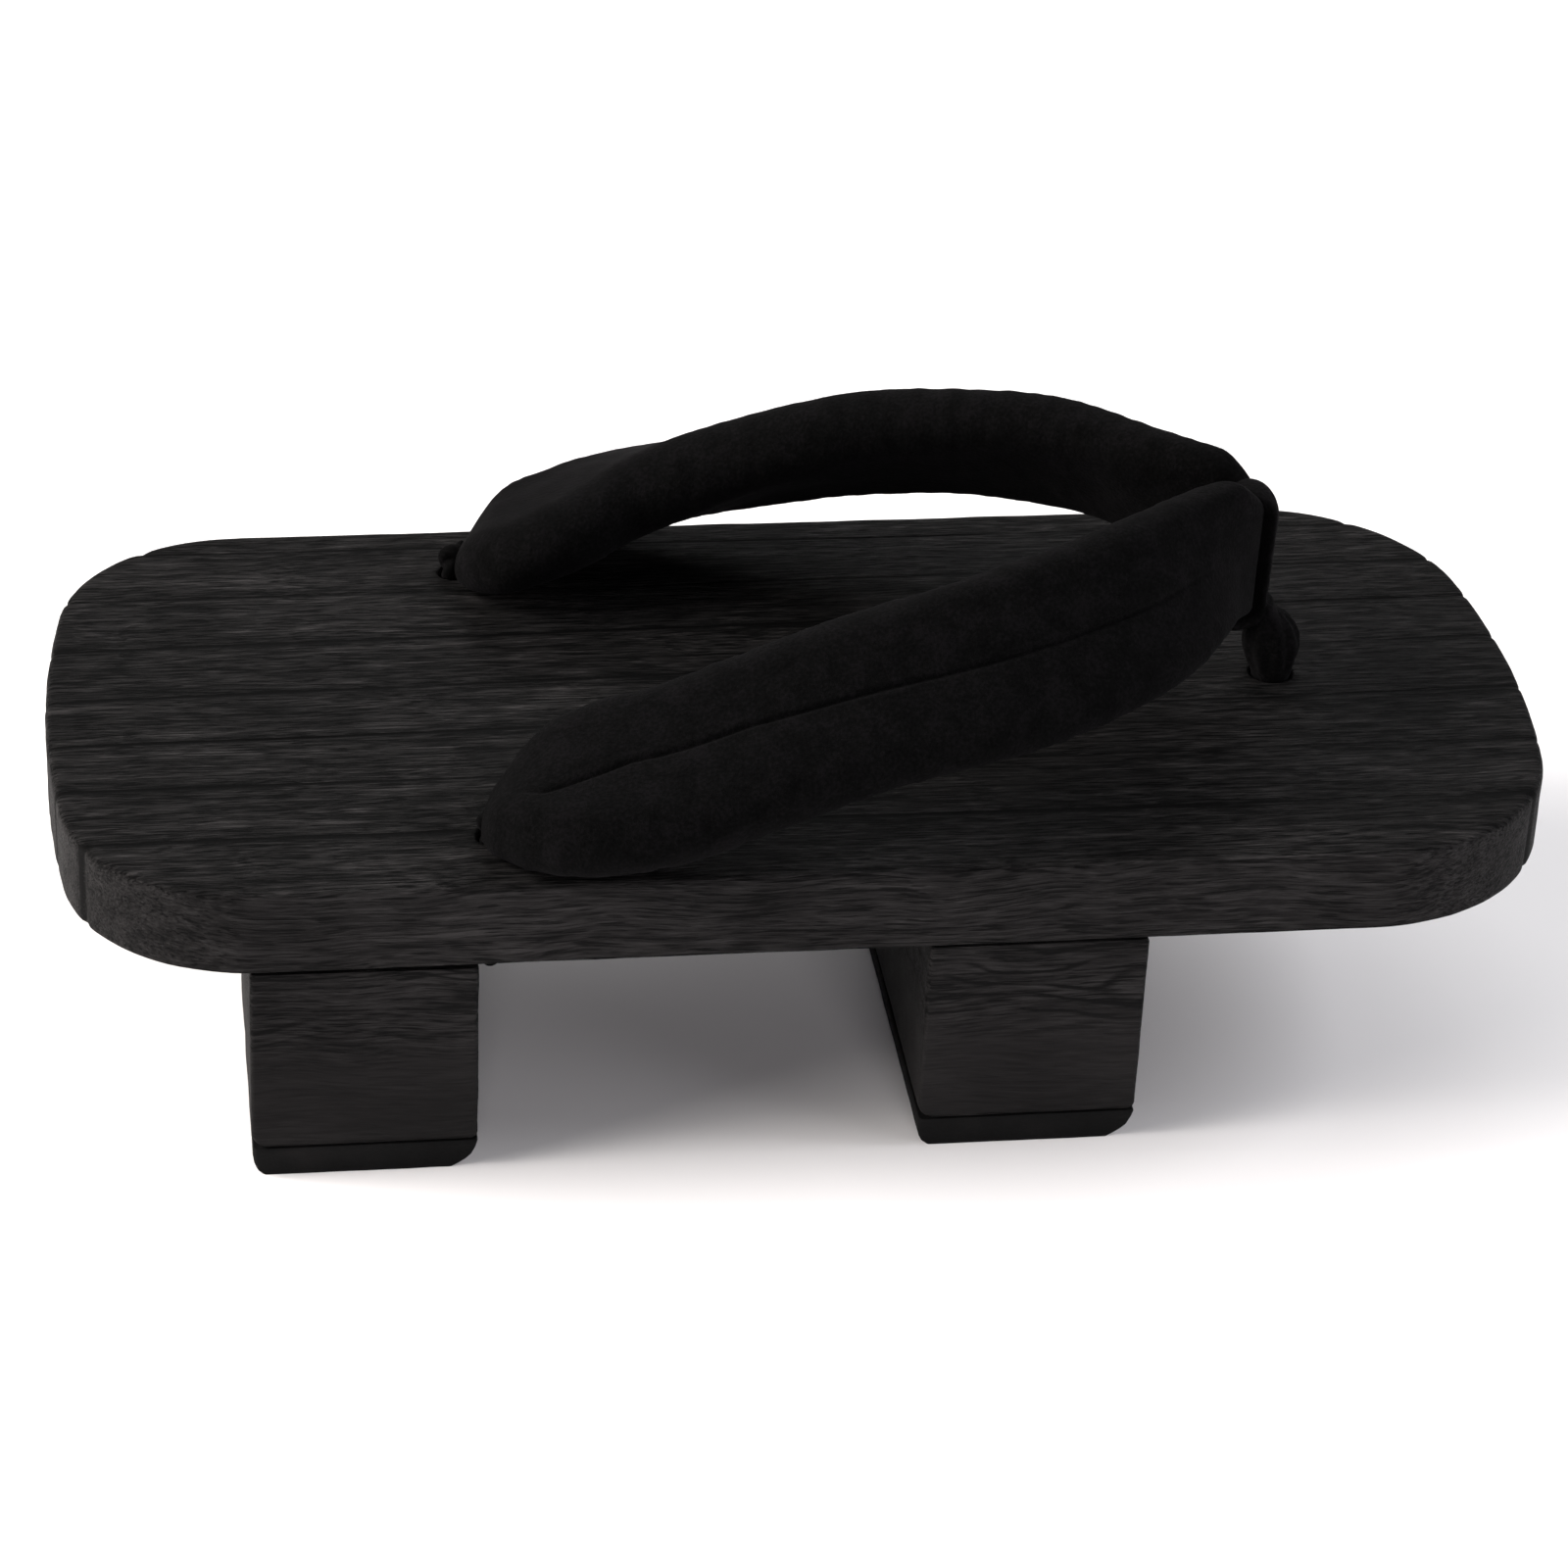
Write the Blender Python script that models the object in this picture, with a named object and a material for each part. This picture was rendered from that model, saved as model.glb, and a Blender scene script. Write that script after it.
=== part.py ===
"""Geta: a wooden board on two teeth with rubber treads, and a padded strap held by a thong at the toe.

Metres, +Z up, the toe at +X. The origin is on the floor under the middle of the board.
"""

import math

import bmesh
import bpy
import numpy as np
from mathutils import Vector

# Board
LENGTH = 0.280
WIDTH = 0.130
BOARD_THICK = 0.0166
HEEL_BULGE = 0.0087
TOE_BULGE = 0.0103
HEEL_CORNER = 0.0346
TOE_CORNER = 0.0388
TOP_ROUND = 0.0018
BOTTOM_ROUND = 0.0008

# Teeth and treads
TOOTH_HEIGHT = 0.0376
TREAD_THICK = 0.0060
HEEL_TOOTH_SETBACK = 0.0350
HEEL_TOOTH_LENGTH = 0.0407
TOE_TOOTH_SETBACK = 0.0826
TOE_TOOTH_LENGTH = 0.0404
TOOTH_INSET = 0.0002
TOOTH_EASE = 0.0008
TREAD_TOE_CUT = 0.0045
TREAD_HEEL_CUT = 0.0020
TREAD_SIDE_CUT = 0.0007

# Holes for the strap's two tails and for the toe thong
HEEL_HOLE_SETBACK = 0.0793
HEEL_HOLE_SPREAD = 0.0970
HEEL_HOLE_RADIUS = 0.0030
TOE_HOLE_SETBACK = 0.0475
TOE_HOLE_RADIUS = 0.0042

# Padded strap
STRAP_BROAD = 0.0350
STRAP_THICK = 0.0154
STRAP_FREE_HEIGHT = 0.0178
NOSE_SETBACK = 0.0072
CREASE_DEPTH = 0.0018
TAIL_RADIUS = 0.0024
TAIL_BITE = 0.0030

# Toe thong
THONG_THICK = 0.0025
THONG_WIDE = 0.0066
THONG_FOOT_HEIGHT = 0.0158
THONG_FOOT_RADIUS = 0.0055
THONG_LOOP_DEPTH = 0.0106
THONG_LOOP_RISE = 0.0010
THONG_SLACK = 0.0017
THONG_STEM_RADIUS = 0.0038

# Knots under the board: the tails' two sit close in front of the heel tooth, so they are oval
KNOT_HALF_LENGTH = 0.0033
KNOT_HALF_WIDTH = 0.0062
KNOT_DROP = 0.0090
TOE_KNOT_RADIUS = 0.0062

# Clearance between pieces that touch
SEAM = 0.0003

# Places that follow from the sizes
TREAD_TOP = TREAD_THICK
TOOTH_BOTTOM = TREAD_TOP + SEAM
TOOTH_TOP = TOOTH_BOTTOM + TOOTH_HEIGHT
BOARD_BOTTOM = TOOTH_TOP + SEAM
BOARD_TOP = BOARD_BOTTOM + BOARD_THICK
HEEL_TOOTH_BACK = -LENGTH / 2 + HEEL_TOOTH_SETBACK
TOE_TOOTH_FRONT = LENGTH / 2 - TOE_TOOTH_SETBACK
HEEL_HOLE_X = -LENGTH / 2 + HEEL_HOLE_SETBACK
HEEL_HOLE_Y = HEEL_HOLE_SPREAD / 2
TOE_HOLE_X = LENGTH / 2 - TOE_HOLE_SETBACK
NOSE_X = TOE_HOLE_X - NOSE_SETBACK

# Edges of the board from its underside up: how far in each loop lies and how high, as shares of
# the rounding there (below) or (above) the plain side.
BOARD_EDGE = (
    # side, inset, height
    ("below", 1.00, 0.00),
    ("below", 0.30, 0.30),
    ("below", 0.00, 1.00),
    ("above", 0.00, 1.00),
    ("above", 0.08, 0.60),
    ("above", 0.30, 0.28),
    ("above", 0.62, 0.08),
    ("above", 1.00, 0.00),
)

# A tread from the floor up: height as a share of its thickness, and how far each edge is cut
# back there as a share of the full cut.
TREAD_EDGE = (
    # height, heel side, toe side, ends
    (0.00, 1.00, 1.00, 1.00),
    (0.15, 0.60, 0.70, 0.30),
    (0.40, 0.30, 0.36, 0.00),
    (0.70, 0.10, 0.11, 0.00),
    (1.00, 0.00, 0.00, 0.00),
)

# One half of the strap, from its end over the heel hole to the nose at the toe. along runs from
# the heel hole to the nose, out is a share of the hole's distance from the middle, free of the
# height left under the strap, broad and thick of the strap's own, and tilt turns the broad face
# from flat on the board towards upright, in degrees.
STRAP_ROWS = (
    # along, out, free, broad, thick, tilt
    (-0.005, 1.010, 0.00, 0.17, 0.28, 0),
    (0.005, 1.016, 0.00, 0.32, 0.47, 2),
    (0.023, 1.030, 0.00, 0.48, 0.64, 5),
    (0.051, 1.040, 0.00, 0.66, 0.76, 9),
    (0.082, 1.050, 0.00, 0.82, 0.84, 13),
    (0.121, 1.066, 0.01, 0.94, 0.90, 16),
    (0.198, 1.072, 0.08, 1.00, 0.97, 21),
    (0.315, 1.037, 0.31, 0.99, 0.94, 30),
    (0.442, 0.984, 0.58, 0.96, 0.85, 39),
    (0.633, 0.876, 0.81, 0.97, 0.73, 47),
    (0.827, 0.586, 0.96, 0.91, 0.71, 55),
    (0.907, 0.342, 0.99, 0.83, 0.66, 66),
    (0.948, 0.208, 0.97, 0.80, 0.46, 77),
    (0.979, 0.112, 0.88, 0.79, 0.31, 83),
    (0.993, 0.058, 0.77, 0.71, 0.29, 84),
    (1.000, 0.000, 0.72, 0.65, 0.28, 84),
)
LOOPS_PER_ROW = 3

# The thong's foot, from the board up to where it runs into the loop: height as a share of the
# foot's, how far ahead of the hole its middle lies and its half depth as shares of the foot's
# radius, and its half width as a share of the same.
FOOT_ROWS = (
    # height, ahead, deep, wide
    (0.03, 0.00, 0.74, 0.76),
    (0.20, -0.03, 0.88, 0.90),
    (0.42, -0.08, 1.00, 1.00),
    (0.58, -0.16, 0.90, 0.96),
    (0.74, -0.22, 0.62, 0.86),
    (0.88, -0.28, 0.34, 0.74),
    (1.06, -0.38, 0.18, 0.60),
)


def clear_scene():
    for obj in list(bpy.data.objects):
        bpy.data.objects.remove(obj, do_unlink=True)


def finish_material(name, colour, roughness):
    material = bpy.data.materials.new(name)
    material.use_nodes = True
    shader = material.node_tree.nodes["Principled BSDF"]
    shader.inputs["Base Color"].default_value = (*colour, 1.0)
    shader.inputs["Roughness"].default_value = roughness
    shader.inputs["Metallic"].default_value = 0.0
    return material


def solid_from_loops(name, loops, material, closed=False):
    """A closed mesh skinned over rings of points, capped at both ends unless the rings close on themselves."""
    mesh = bmesh.new()
    rings = [[mesh.verts.new(point) for point in loop] for loop in loops]
    pairs = list(zip(rings, rings[1:]))
    if closed:
        pairs.append((rings[-1], rings[0]))
    for lower, upper in pairs:
        for i, corner in enumerate(lower):
            j = (i + 1) % len(lower)
            mesh.faces.new((corner, lower[j], upper[j], upper[i]))
    if not closed:
        mesh.faces.new(list(reversed(rings[0])))
        mesh.faces.new(rings[-1])
    bmesh.ops.recalc_face_normals(mesh, faces=mesh.faces)
    data = bpy.data.meshes.new(name)
    mesh.to_mesh(data)
    mesh.free()
    data.materials.append(material)
    data.shade_smooth()
    data.set_sharp_from_angle(angle=math.radians(35))
    obj = bpy.data.objects.new(name, data)
    bpy.context.scene.collection.objects.link(obj)
    return obj


def helper(obj):
    obj.hide_render = True
    obj.display_type = "WIRE"
    return obj


def combine(target, other, operation):
    modifier = target.modifiers.new(operation.title(), "BOOLEAN")
    modifier.operation = operation
    modifier.solver = "EXACT"
    modifier.object = helper(other)


def end_arc(bulge):
    """Radius of the arc across one end of the board, from its rise over the board's width."""
    return (WIDTH * WIDTH / 4 + bulge * bulge) / (2 * bulge)


def board_corner(bulge, corner):
    """Middle of a corner's rounding, measured from the board's middle towards that end."""
    radius = end_arc(bulge)
    across = WIDTH / 2 - corner
    along = LENGTH / 2 - radius + math.sqrt((radius - corner) ** 2 - across**2)
    return along, across


def board_end(bulge, corner, inset, steps=14):
    """Half outline round one end, from the side at +Y over the end to the side at -Y, towards +X."""
    radius = end_arc(bulge)
    along, across = board_corner(bulge, corner)
    middle = LENGTH / 2 - radius
    turn = math.atan2(across, along - middle)
    points = []
    for i in range(steps + 1):
        angle = math.pi / 2 + (turn - math.pi / 2) * i / steps
        reach = corner - inset
        points.append((along + reach * math.cos(angle), across + reach * math.sin(angle)))
    for i in range(1, steps):
        angle = turn - 2 * turn * i / steps
        reach = radius - inset
        points.append((middle + reach * math.cos(angle), reach * math.sin(angle)))
    return points + [(x, -y) for x, y in reversed(points[: steps + 1])]


def board_outline(inset):
    toe = board_end(TOE_BULGE, TOE_CORNER, inset)
    heel = [(-x, -y) for x, y in board_end(HEEL_BULGE, HEEL_CORNER, inset)]
    return toe + heel


def half_width(x):
    """Half of the board's width at a place along it."""
    bulge, corner = (TOE_BULGE, TOE_CORNER) if x > 0 else (HEEL_BULGE, HEEL_CORNER)
    along, across = board_corner(bulge, corner)
    past = max(abs(x) - along, 0.0)
    return across + math.sqrt(corner**2 - past**2)


def oval(x, y, z, half_length, half_width, count):
    turns = [2 * math.pi * i / count for i in range(count)]
    return [(x + half_length * math.cos(t), y + half_width * math.sin(t), z) for t in turns]


def drill(name, x, y, radius, material):
    """A round cutter through the board."""
    heights = (BOARD_BOTTOM - BOARD_THICK, BOARD_TOP + BOARD_THICK)
    return solid_from_loops(name, [oval(x, y, z, radius, radius, 32) for z in heights], material)


def make_board(material):
    loops = []
    for side, inset, height in BOARD_EDGE:
        rounding = BOTTOM_ROUND if side == "below" else TOP_ROUND
        z = BOARD_BOTTOM + rounding * height if side == "below" else BOARD_TOP - rounding * height
        loops.append([(x, y, z) for x, y in board_outline(rounding * inset)])
    board = solid_from_loops("board", loops, material)
    places = {
        "heel_drill_left": (HEEL_HOLE_X, HEEL_HOLE_Y, HEEL_HOLE_RADIUS),
        "heel_drill_right": (HEEL_HOLE_X, -HEEL_HOLE_Y, HEEL_HOLE_RADIUS),
        "toe_drill": (TOE_HOLE_X, 0.0, TOE_HOLE_RADIUS),
    }
    for name, (x, y, radius) in places.items():
        combine(board, drill(name, x, y, radius, material), "DIFFERENCE")
    return board


def tooth_loop(back, front, z, inset, ease, steps=5):
    """Plan of a tooth or tread: straight across the board, its ends following the board's sides."""
    side = []
    for i in range(steps + 1):
        x = back + ease + (front - back - 2 * ease) * i / steps
        side.append((x, half_width(x) - inset))
    side = [(back, side[0][1] - ease)] + side + [(front, side[-1][1] - ease)]
    return [(x, -y, z) for x, y in side] + [(x, y, z) for x, y in reversed(side)]


def make_tooth(name, back, length, material):
    """A block of wood across the board with its four upright corners eased."""
    front = back + length
    heights = (TOOTH_BOTTOM, TOOTH_TOP)
    loops = [tooth_loop(back, front, z, TOOTH_INSET, TOOTH_EASE) for z in heights]
    return solid_from_loops(name, loops, material)


def make_tread(name, back, length, material):
    """A rubber sheet under a tooth, worn round where it leaves the floor."""
    loops = []
    for height, heel_side, toe_side, ends in TREAD_EDGE:
        start = back + TREAD_HEEL_CUT * heel_side
        stop = back + length - TREAD_TOE_CUT * toe_side
        inset = TOOTH_INSET + TREAD_SIDE_CUT * ends
        loops.append(tooth_loop(start, stop, TREAD_TOP * height, inset, TOOTH_EASE))
    return solid_from_loops(name, loops, material)


def ease_through(stops, values, places):
    """A smooth curve through the values at the stops, read at the places."""
    stops, values, places = (np.asarray(a, float) for a in (stops, values, places))
    steps = np.diff(stops)
    rises = np.diff(values) / steps
    slopes = np.empty_like(values)
    slopes[1:-1] = (rises[:-1] * steps[1:] + rises[1:] * steps[:-1]) / (steps[:-1] + steps[1:])
    slopes[0], slopes[-1] = rises[0], rises[-1]
    i = np.clip(np.searchsorted(stops, places, side="right") - 1, 0, len(steps) - 1)
    h = steps[i]
    t = (places - stops[i]) / h
    return (
        values[i] * (1 + 2 * t) * (1 - t) ** 2
        + slopes[i] * h * t * (1 - t) ** 2
        + values[i + 1] * t * t * (3 - 2 * t)
        - slopes[i + 1] * h * t * t * (1 - t)
    )


def strap_station(row, side):
    """One row of the strap's table in metres: its middle, its half sizes and its tilt."""
    along, out, free, broad, thick, tilt = row
    half_broad = STRAP_BROAD / 2 * broad
    half_thick = STRAP_THICK / 2 * thick
    lean = math.radians(tilt)
    lowest = half_thick + (half_broad - half_thick) * abs(math.sin(lean))
    x = HEEL_HOLE_X + along * (NOSE_X - HEEL_HOLE_X)
    z = BOARD_TOP + SEAM + free * STRAP_FREE_HEIGHT + lowest
    return (x, side * out * HEEL_HOLE_Y, z, half_broad, half_thick, lean)


def strap_section(half_broad, half_thick, crease):
    """Two padded lobes side by side: a crease down the outer face, and a flat lining inside."""
    lobe = half_broad - half_thick
    points = []
    for i in range(9):
        angle = math.pi * (i / 8 - 0.5)
        points.append((lobe + half_thick * math.cos(angle), half_thick * math.sin(angle)))
    for share, sunk in ((0.55, 0.25), (0.22, 0.75), (0.0, 1.0), (-0.22, 0.75), (-0.55, 0.25)):
        points.append((lobe * share, half_thick - crease * sunk))
    for i in range(9):
        angle = math.pi * (i / 8 + 0.5)
        points.append((-lobe + half_thick * math.cos(angle), half_thick * math.sin(angle)))
    return points + [(-lobe * 0.4, -half_thick), (lobe * 0.4, -half_thick)]


def strap_loops():
    """Rings of points round the strap, from one heel hole round the nose to the other."""
    stations = [strap_station(row, 1) for row in STRAP_ROWS]
    stations += [strap_station(row, -1) for row in reversed(STRAP_ROWS[:-1])]
    table = np.array(stations)
    spans = np.linalg.norm(np.diff(table[:, :3], axis=0), axis=1)
    stops = np.concatenate([[0.0], np.cumsum(spans)])
    places = []
    for start, stop in zip(stops, stops[1:]):
        places += [start + (stop - start) * k / LOOPS_PER_ROW for k in range(LOOPS_PER_ROW)]
    places.append(stops[-1])
    columns = np.stack([ease_through(stops, column, places) for column in table.T], axis=1)
    heading = np.gradient(columns[:, :3], np.asarray(places), axis=0)
    full_crease = CREASE_DEPTH / (STRAP_THICK / 2)
    loops = []
    for (x, y, z, half_broad, half_thick, lean), ahead in zip(columns, heading):
        upward = Vector((0, 0, 1))
        outward = upward.cross(Vector((ahead[0], ahead[1], 0))).normalized()
        broad_way = outward * math.cos(lean) - upward * math.sin(lean)
        face_way = outward * math.sin(lean) + upward * math.cos(lean)
        section = strap_section(half_broad, half_thick, full_crease * half_thick)
        middle = Vector((x, y, z))
        loops.append([tuple(middle + broad_way * u + face_way * w) for u, w in section])
    return loops


def tail_and_knot(name, x, y, radius, top, knot, material):
    """A round tail through the board with a plain oval knot under it, on the hole's axis."""
    half_length, half_width = knot
    middle = BOARD_BOTTOM - SEAM - KNOT_DROP / 2
    loops = [oval(x, y, middle - KNOT_DROP / 2, half_length * 0.4, half_width * 0.4, 20)]
    for share in (-0.7, -0.3, 0.3, 0.7):
        z = middle + KNOT_DROP / 2 * share
        reach = math.sqrt(1 - share * share * 0.6)
        loops.append(oval(x, y, z, half_length * reach, half_width * reach, 20))
    loops.append(oval(x, y, middle + KNOT_DROP / 2, radius, radius, 20))
    loops.append(oval(x, y, top, radius, radius, 20))
    return solid_from_loops(name, loops, material)


def make_straps(material):
    """Both straps as one padded band: it turns at the toe, and its tails pass through the board."""
    straps = solid_from_loops("straps", strap_loops(), material)
    for name, side in (("strap_tail_left", 1), ("strap_tail_right", -1)):
        top = BOARD_TOP + SEAM + TAIL_BITE
        y = side * HEEL_HOLE_Y
        knot = (KNOT_HALF_LENGTH, KNOT_HALF_WIDTH)
        tail = tail_and_knot(name, HEEL_HOLE_X, y, TAIL_RADIUS, top, knot, material)
        combine(straps, tail, "UNION")
    return straps


def thong_loop(steps=40):
    """The flat loop that holds the strap's nose: rings of points along an upright oval."""
    x, _, z, half_broad, half_thick, lean = strap_station(STRAP_ROWS[-1], 1)
    front = x + half_thick + 2 * SEAM + THONG_THICK / 2
    tall = half_broad + SEAM + THONG_SLACK + THONG_THICK / 2
    middle_x = front - THONG_LOOP_DEPTH / 2
    roundness = 2 / 4.4
    loops = []
    for i in range(steps):
        turn = 2 * math.pi * i / steps
        c, s = math.cos(turn), math.sin(turn)
        shape = (math.copysign(abs(c) ** roundness, c), math.copysign(abs(s) ** roundness, s))
        way = Vector((c / THONG_LOOP_DEPTH, 0, s / (2 * tall))).normalized()
        up = tall * shape[1] + THONG_LOOP_RISE
        ahead = THONG_LOOP_DEPTH / 2 * shape[0] - up / math.tan(lean)
        middle = Vector((middle_x + ahead, 0, z + up))
        half_wide = THONG_WIDE / 2 * (0.70 + 0.30 * math.tanh(4 * c))
        ring = []
        for k in range(10):
            angle = 2 * math.pi * k / 10
            across = Vector((0, 1, 0)) * half_wide * math.cos(angle)
            ring.append(tuple(middle + way * THONG_THICK / 2 * math.sin(angle) + across))
        loops.append(ring)
    return loops


def make_thong(material):
    """The toe thong: a loop round the strap's nose, a fat foot on the board, and a knotted tail."""
    thong = solid_from_loops("toe_thong", thong_loop(), material, closed=True)
    loops = []
    for height, ahead, deep, wide in FOOT_ROWS:
        x = TOE_HOLE_X + THONG_FOOT_RADIUS * ahead
        z = BOARD_TOP + THONG_FOOT_HEIGHT * height
        turns = [2 * math.pi * i / 20 for i in range(20)]
        depth, width = THONG_FOOT_RADIUS * deep, THONG_FOOT_RADIUS * wide
        loops.append([(x + depth * math.cos(t), width * math.sin(t), z) for t in turns])
    combine(thong, solid_from_loops("thong_foot", loops, material), "UNION")
    top = BOARD_TOP + THONG_FOOT_HEIGHT * 0.3
    knot = (TOE_KNOT_RADIUS, TOE_KNOT_RADIUS)
    tail = tail_and_knot("thong_tail", TOE_HOLE_X, 0.0, THONG_STEM_RADIUS, top, knot, material)
    combine(thong, tail, "UNION")
    return thong


def main():
    clear_scene()
    wood = finish_material("stained_wood", (0.018, 0.017, 0.018), 0.45)
    rubber = finish_material("tread_rubber", (0.012, 0.012, 0.012), 0.8)
    cloth = finish_material("strap_cloth", (0.006, 0.006, 0.007), 0.95)
    toe_tooth_back = TOE_TOOTH_FRONT - TOE_TOOTH_LENGTH
    make_board(wood)
    make_tooth("heel_tooth", HEEL_TOOTH_BACK, HEEL_TOOTH_LENGTH, wood)
    make_tooth("toe_tooth", toe_tooth_back, TOE_TOOTH_LENGTH, wood)
    make_tread("heel_tread", HEEL_TOOTH_BACK, HEEL_TOOTH_LENGTH, rubber)
    make_tread("toe_tread", toe_tooth_back, TOE_TOOTH_LENGTH, rubber)
    make_straps(cloth)
    make_thong(cloth)


main()
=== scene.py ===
"""Looks of a geta: a black-stained wooden sandal on two teeth, with a padded cloth strap.

Metres, +Z up, toe at +X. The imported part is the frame, and every piece here rides on it.
"""

import math

import bmesh
import bpy
import numpy as np
from mathutils import Matrix, Vector, noise


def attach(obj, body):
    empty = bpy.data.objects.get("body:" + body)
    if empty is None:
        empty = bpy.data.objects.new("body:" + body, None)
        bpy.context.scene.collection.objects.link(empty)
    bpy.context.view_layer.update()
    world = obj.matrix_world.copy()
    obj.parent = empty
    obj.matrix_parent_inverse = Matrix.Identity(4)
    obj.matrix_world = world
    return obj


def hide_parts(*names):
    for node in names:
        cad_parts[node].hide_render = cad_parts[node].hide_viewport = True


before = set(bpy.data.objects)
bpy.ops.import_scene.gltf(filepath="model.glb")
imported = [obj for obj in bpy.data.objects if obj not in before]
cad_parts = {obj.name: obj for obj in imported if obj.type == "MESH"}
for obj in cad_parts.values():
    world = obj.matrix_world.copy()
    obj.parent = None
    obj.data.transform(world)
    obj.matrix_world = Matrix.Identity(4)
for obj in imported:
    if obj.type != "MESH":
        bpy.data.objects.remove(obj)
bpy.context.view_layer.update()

MM = 0.001

# The board's sizes, as in the part's source but 0.8 mm wider at each side, as the photo shows
LENGTH = 280 * MM
WIDTH = 131.6 * MM
BOARD_TOP = 60.8 * MM
BOARD_BOTTOM = 44.2 * MM
HEEL_BULGE = 8.7 * MM
TOE_BULGE = 10.3 * MM
HEEL_CORNER = 34.6 * MM
TOE_CORNER = 38.8 * MM
HEEL_HOLE = (-60.7 * MM, 48.5 * MM, 3.0 * MM)
TOE_HOLE = (92.5 * MM, 0.0, 4.2 * MM)

# Teeth and treads: where each starts and stops along the board
HEEL_TOOTH = (-105.0 * MM, -64.3 * MM)
TOE_TOOTH = (17.0 * MM, 57.4 * MM)

# The flat of the top face stops this far inside the outline, where the worn edge starts
RIM_INSET = 2.2 * MM
FACE_HALF = WIDTH / 2 - RIM_INSET

# Growth rings met by the top face: how far each line runs from the middle at the heel end and at
# the toe end, in millimetres. Each ends in a small notch where it meets the outline.
RING_LINES = (
    # at the heel, at the toe
    (-46.7, -46.6),
    (-28.9, -27.4),
    (-13.0, -8.5),
    (3.0, 11.0),
    (21.5, 27.0),
    (40.7, 41.5),
    (58.8, 56.9),
)
RING_COUNT = len(RING_LINES) + 1
# The lines lie about this far apart, and their grooves are this deep and this wide to each side,
# in millimetres
RING_GAP = 17.5
GROOVE_DEPTH = 0.30
GROOVE_HALF = 0.42
# The notch that a line wears into the board's end, likewise
NOTCH_DEPTH = 0.45
NOTCH_HALF = 0.8

# The board's points lie in rows along the grain: how far the first rows are from a ring line and
# from the face's edge, and how far apart the others are, all in millimetres
LINE_STEPS = (0.3, 0.65, 1.2)
EDGE_STEPS = (0.05, 0.15, 0.35, 0.6, 0.95, 1.4, 1.95)
ROW_STEP = 0.9
GRID_COLUMNS = 112

# How far the wood departs from flat, in millimetres: by its fibres, by slow wear on the faces and
# on the edges, and by a small dent in the top face at the heel
FIBRE_DEPTH = 0.05
FACE_WEAR = 0.12
EDGE_WEAR = 0.10
DENT_DEPTH = 0.35
# The dent's place, and how far it reaches along and across the board
DENT = (-127.0 * MM, 27.5 * MM, 1.3 * MM, 4.2 * MM)

# From the underside up: inset from the outline and height above the underside, in millimetres
BOARD_EDGE = (
    # inset, height
    (2.20, 0.00),
    (1.20, 0.02),
    (0.55, 0.14),
    (0.15, 0.50),
    (0.00, 1.20),
    (0.00, 3.20),
    (0.00, 5.20),
    (0.00, 7.20),
    (0.00, 9.20),
    (0.00, 11.2),
    (0.00, 13.2),
    (0.00, 14.9),
    (0.10, 15.50),
    (0.32, 16.00),
    (0.70, 16.34),
    (1.30, 16.54),
    (2.20, 16.60),
)

# From the floor up: height, and how much is worn off the heel side, the toe side and the two ends
TOOTH_ROWS = (
    (6.3, 1.9, 0.6, 0.5),
    (6.8, 1.0, 0.2, 0.2),
    (7.6, 0.3, 0.0, 0.0),
    (8.8, -0.3, 0.0, 0.0),
    (15.0, -0.3, 0.0, 0.0),
    (43.2, 0.0, 0.0, 0.0),
    (43.9, 0.3, 0.3, 0.2),
)
TREAD_ROWS = (
    (0.0, 1.6, 4.4, -0.6),
    (0.5, 0.8, 3.2, -0.8),
    (1.3, 0.4, 2.0, -0.8),
    (2.4, 0.1, 1.0, -0.6),
    (4.2, -0.1, 0.3, -0.3),
    (5.6, -0.1, 0.0, 0.0),
    (6.0, 0.1, 0.2, 0.2),
)


def held(value):
    """The value, held between 0 and 1."""
    return min(max(value, 0.0), 1.0)


def hex_colour(code):
    """An sRGB hex colour as linear values."""
    parts = [int(code[i : i + 2], 16) / 255 for i in (1, 3, 5)]
    linear = [c / 12.92 if c <= 0.04045 else ((c + 0.055) / 1.055) ** 2.4 for c in parts]
    return (*linear, 1.0)


def add(tree, kind, links=(), stops=(), **settings):
    """Adds one node: settings by name, links as (input, node, socket or value), a ramp's stops.

    A stop is a place with a hex colour, or with a plain number for a grey value.
    """
    node = tree.nodes.new(kind)
    for name, value in settings.items():
        setattr(node, name, value)
    for socket, source in links:
        source = source.outputs[0] if isinstance(source, bpy.types.Node) else source
        if isinstance(source, bpy.types.NodeSocket):
            tree.links.new(source, node.inputs[socket])
        else:
            node.inputs[socket].default_value = source
    for i, (spot, colour) in enumerate(stops):
        element = node.color_ramp.elements[i] if i < 2 else node.color_ramp.elements.new(spot)
        element.position = spot
        is_code = isinstance(colour, str)
        element.color = hex_colour(colour) if is_code else (colour, colour, colour, 1)
    return node


def new_material(name):
    material = bpy.data.materials.new(name)
    material.use_nodes = True
    tree = material.node_tree
    tree.nodes.clear()
    shader = add(tree, "ShaderNodeBsdfPrincipled")
    add(tree, "ShaderNodeOutputMaterial", [(0, shader)])
    return material, tree, shader


def ring_tables():
    """Where the ring lines cross the board at the heel and the toe, with their numbers."""
    numbers = [0.5] + list(range(1, RING_COUNT)) + [RING_COUNT - 0.5]
    ends = []
    for end in (0, 1):
        ends.append([-FACE_HALF] + [row[end] * MM for row in RING_LINES] + [FACE_HALF])
    return numbers, ends[0], ends[1]


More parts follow.
